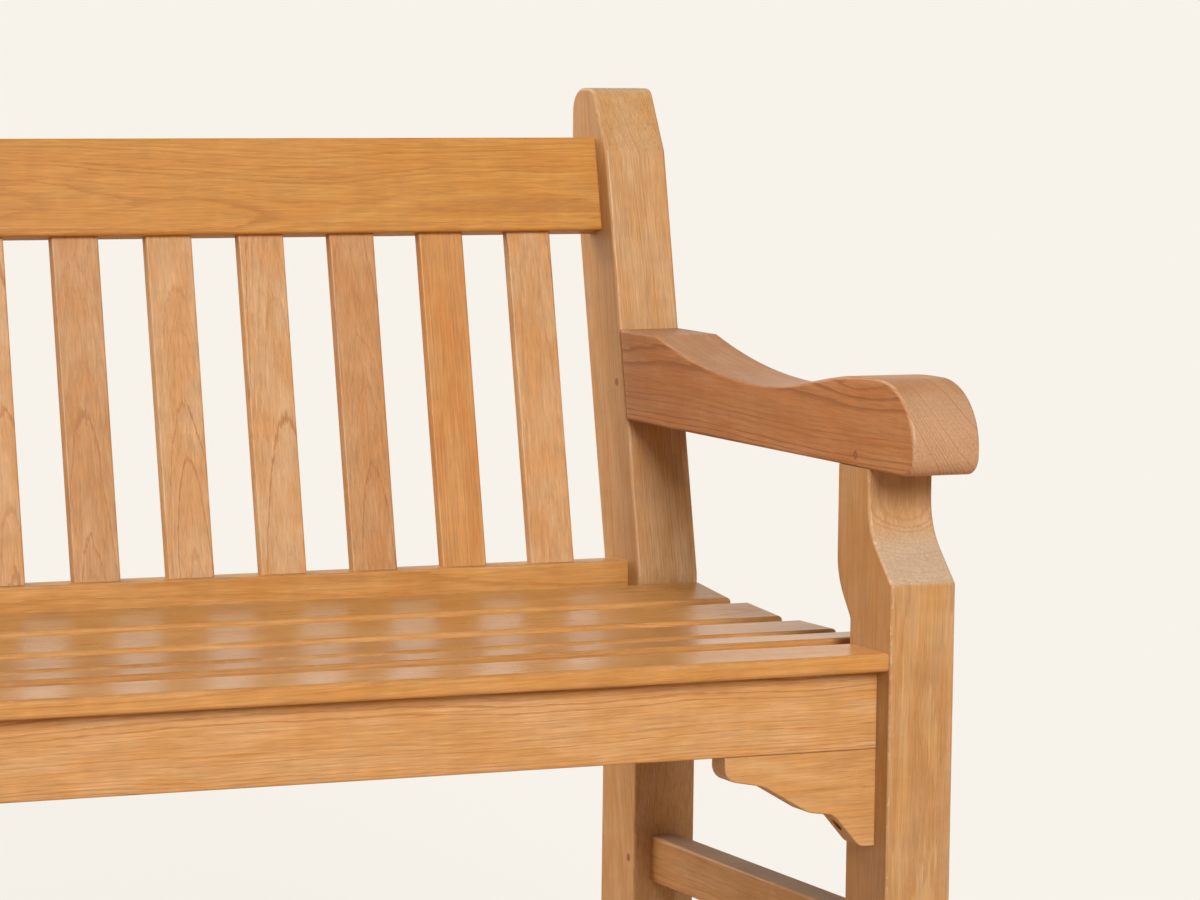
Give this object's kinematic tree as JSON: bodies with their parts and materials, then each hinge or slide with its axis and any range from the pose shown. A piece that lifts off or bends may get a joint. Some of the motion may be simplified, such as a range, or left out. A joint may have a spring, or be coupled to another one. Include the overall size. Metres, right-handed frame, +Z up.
{
  "type": "garden bench",
  "caption": "Slatted timber garden bench with a leaning back, scooped arms on swept front legs, a dished seat and shaped corner brackets.",
  "frame": {"origin": "on the ground, under the middle of the bench", "axes": "+Z up, +X along the bench to the right as seen from in front, -Y towards the front of the seat"},
  "size_m": [1.5, 0.675, 0.892],
  "materials": {
    "leg_timber": "oiled teak, long grain upright",
    "arm_timber": "oiled teak, long grain fore and aft",
    "rail_timber": "oiled teak",
    "back_slat_timber": "oiled teak, long grain upright",
    "seat_slat_timber": "oiled teak with a satin sheen",
    "peg_timber": "oiled end grain",
    "screw_steel": "dull stainless"
  },
  "bodies": {
    "root": {"front_leg_right": "leg_timber", "front_leg_left": "leg_timber", "rear_leg_right": "leg_timber", "rear_leg_left": "leg_timber", "arm_right": "arm_timber", "arm_left": "arm_timber", "side_seat_rail_right": "rail_timber", "side_seat_rail_left": "rail_timber", "side_stretcher_right": "rail_timber", "side_stretcher_left": "rail_timber", "corner_bracket_right": "rail_timber", "corner_bracket_left": "rail_timber", "front_seat_rail": "rail_timber", "rear_seat_rail": "rail_timber", "back_top_rail": "rail_timber", "centre_seat_bearer": "rail_timber", "back_slat_01": "back_slat_timber", "back_slat_02": "back_slat_timber", "back_slat_03": "back_slat_timber", "back_slat_04": "back_slat_timber", "back_slat_05": "back_slat_timber", "back_slat_06": "back_slat_timber", "back_slat_07": "back_slat_timber", "back_slat_08": "back_slat_timber", "back_slat_09": "back_slat_timber", "back_slat_10": "back_slat_timber", "back_slat_11": "back_slat_timber", "back_slat_12": "back_slat_timber", "back_slat_13": "back_slat_timber", "back_slat_14": "back_slat_timber", "back_slat_15": "back_slat_timber", "seat_slat_1": "seat_slat_timber", "seat_slat_2": "seat_slat_timber", "seat_slat_3": "seat_slat_timber", "seat_slat_4": "seat_slat_timber", "seat_slat_5": "seat_slat_timber", "side_frame_pegs": "peg_timber", "long_rail_pegs": "peg_timber", "bracket_screws": "screw_steel", "seat_screws": "screw_steel"}
  },
  "joints": []
}
